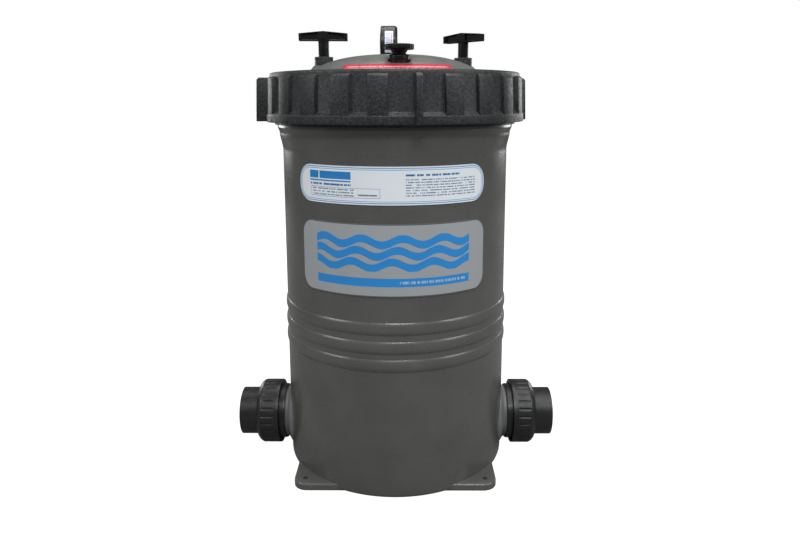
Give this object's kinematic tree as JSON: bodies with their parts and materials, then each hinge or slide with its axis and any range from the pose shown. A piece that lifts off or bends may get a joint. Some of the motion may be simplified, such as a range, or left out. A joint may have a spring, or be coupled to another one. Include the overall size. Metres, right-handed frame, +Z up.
{
  "type": "cartridge filter housing",
  "caption": "Upright pool filter housing with a screwed lock ring over a domed lid, a pleated cartridge inside, side pipe unions, an air bleed valve and a pressure gauge.",
  "frame": {"origin": "centre of the object's box, on the floor under the tank", "axes": "+Z up along the tank, -Y towards the labelled front, +X towards the right-hand port"},
  "size_m": [0.4938, 0.3904, 0.653],
  "materials": {
    "moulded_grey": "satin moulded grey plastic",
    "lid_grey": "satin moulded grey plastic",
    "ring_black": "finely textured black plastic",
    "gloss_black": "glossy black plastic",
    "union_black": "satin black plastic",
    "rubber": "matt black rubber",
    "steel": "bright stainless steel",
    "brass": "machined brass",
    "clear_lens": "clear moulded polycarbonate",
    "white_print": "printed white",
    "pointer_red": "painted red",
    "red_film": "printed red film",
    "silver_film": "printed silver film",
    "white_film": "printed white film",
    "filter_cloth": "spun polyester cloth",
    "white_plastic": "moulded white plastic",
    "blue_cap": "moulded blue polyurethane"
  },
  "bodies": {
    "tank": {"tank": "moulded_grey", "name_badge": "silver_film", "instruction_label": "white_film", "outlet_elbow": "white_plastic", "cartridge_seat": "white_plastic", "seat_o_ring": "rubber", "air_relief_tube": "white_plastic", "air_relief_screen": "white_plastic", "inlet_diffuser": "white_plastic"},
    "cartridge": {"cartridge_media": "filter_cloth", "cartridge_core": "white_plastic", "cartridge_top_cap": "blue_cap", "cartridge_bottom_cap": "blue_cap", "cartridge_upper_band": "white_plastic", "cartridge_lower_band": "white_plastic"},
    "lid": {"lid": "lid_grey", "lid_o_ring": "rubber", "left_handle_bush": "ring_black", "right_handle_bush": "ring_black", "bleed_valve_body": "gloss_black", "bleed_valve_washer": "rubber", "gauge_stem": "brass", "gauge_washer": "rubber", "gauge_case": "gloss_black", "gauge_lens": "clear_lens", "gauge_dial": "white_print", "gauge_movement": "brass", "gauge_bourdon_tube": "brass", "gauge_sticker": "white_print", "warning_label": "red_film"},
    "lock_ring": {"lock_ring": "ring_black"},
    "left_handle_stud": {"left_handle_stud": "steel"},
    "left_handle": {"left_handle_grip": "gloss_black"},
    "right_handle_stud": {"right_handle_stud": "steel"},
    "right_handle": {"right_handle_grip": "gloss_black"},
    "bleed_spindle": {"bleed_valve_spindle": "steel"},
    "bleed_knob": {"bleed_valve_knob": "gloss_black"},
    "gauge_pointer": {"gauge_pointer": "pointer_red"},
    "left_union": {"left_union_tail": "union_black", "left_union_o_ring": "rubber"},
    "left_nut": {"left_union_nut": "union_black"},
    "right_union": {"right_union_tail": "union_black", "right_union_o_ring": "rubber"},
    "right_nut": {"right_union_nut": "union_black"},
    "drain_seal": {"drain_o_ring": "rubber"},
    "drain_plug": {"drain_plug": "gloss_black"}
  },
  "joints": [
    {"name": "lid_lift", "type": "slide", "parent": "tank", "child": "lid", "axis": [0, 0, 1], "range_m": [0, 0.45]},
    {"name": "cartridge_lift", "type": "slide", "parent": "tank", "child": "cartridge", "axis": [0, 0, 1], "range_m": [0, 0.39]},
    {"name": "lock_ring_turn", "type": "hinge", "parent": "lid", "child": "lock_ring", "pos_m": [0, 0, 0.546], "axis": [0, 0, 1], "range_deg": [0, 720]},
    {"name": "left_handle_rise", "type": "slide", "parent": "lid", "child": "left_handle_stud", "axis": [0, 0, 1], "range_m": [0, 0.012]},
    {"name": "left_handle_turn", "type": "hinge", "parent": "left_handle_stud", "child": "left_handle", "pos_m": [-0.09863, -0.0165, 0.6], "axis": [0, 0, 1], "range_deg": [0, 1080]},
    {"name": "right_handle_rise", "type": "slide", "parent": "lid", "child": "right_handle_stud", "axis": [0, 0, 1], "range_m": [0, 0.012]},
    {"name": "right_handle_turn", "type": "hinge", "parent": "right_handle_stud", "child": "right_handle", "pos_m": [0.09863, 0.0165, 0.6], "axis": [0, 0, 1], "range_deg": [0, 1080]},
    {"name": "bleed_spindle_rise", "type": "slide", "parent": "lid", "child": "bleed_spindle", "axis": [0, 0, 1], "range_m": [0, 0.003]},
    {"name": "bleed_knob_turn", "type": "hinge", "parent": "bleed_spindle", "child": "bleed_knob", "pos_m": [0.0073, -0.096, 0.6], "axis": [0, 0, 1], "range_deg": [0, 720]},
    {"name": "gauge_pointer_turn", "type": "hinge", "parent": "lid", "child": "gauge_pointer", "pos_m": [-0.017, 0.095, 0.625], "axis": [1, 0, 0], "range_deg": [0, 270], "stiffness_Nm_per_rad": 0.0008},
    {"name": "left_union_pull", "type": "slide", "parent": "tank", "child": "left_union", "axis": [-1, 0, 0], "range_m": [0, 0.06]},
    {"name": "left_nut_turn", "type": "hinge", "parent": "left_union", "child": "left_nut", "pos_m": [-0.205, 0, 0.0527], "axis": [-1, 0, 0], "continuous": true},
    {"name": "right_union_pull", "type": "slide", "parent": "tank", "child": "right_union", "axis": [1, 0, 0], "range_m": [0, 0.06]},
    {"name": "right_nut_turn", "type": "hinge", "parent": "right_union", "child": "right_nut", "pos_m": [0.205, 0, 0.0527], "axis": [1, 0, 0], "continuous": true},
    {"name": "drain_plug_travel", "type": "slide", "parent": "tank", "child": "drain_seal", "axis": [0, 1, 0], "range_m": [0, 0.016]},
    {"name": "drain_plug_turn", "type": "hinge", "parent": "drain_seal", "child": "drain_plug", "pos_m": [0, 0.186, 0.026], "axis": [0, 1, 0], "range_deg": [0, 1440]}
  ],
  "couplings": [
    {"joint": "cartridge_lift", "follows": "lid_lift", "ratio": 0.85},
    {"joint": "left_handle_turn", "follows": "left_handle_rise", "rad_per_m": 1570.8},
    {"joint": "right_handle_turn", "follows": "right_handle_rise", "rad_per_m": 1570.8},
    {"joint": "bleed_knob_turn", "follows": "bleed_spindle_rise", "rad_per_m": 4188.8},
    {"joint": "drain_plug_turn", "follows": "drain_plug_travel", "rad_per_m": 1570.8}
  ]
}
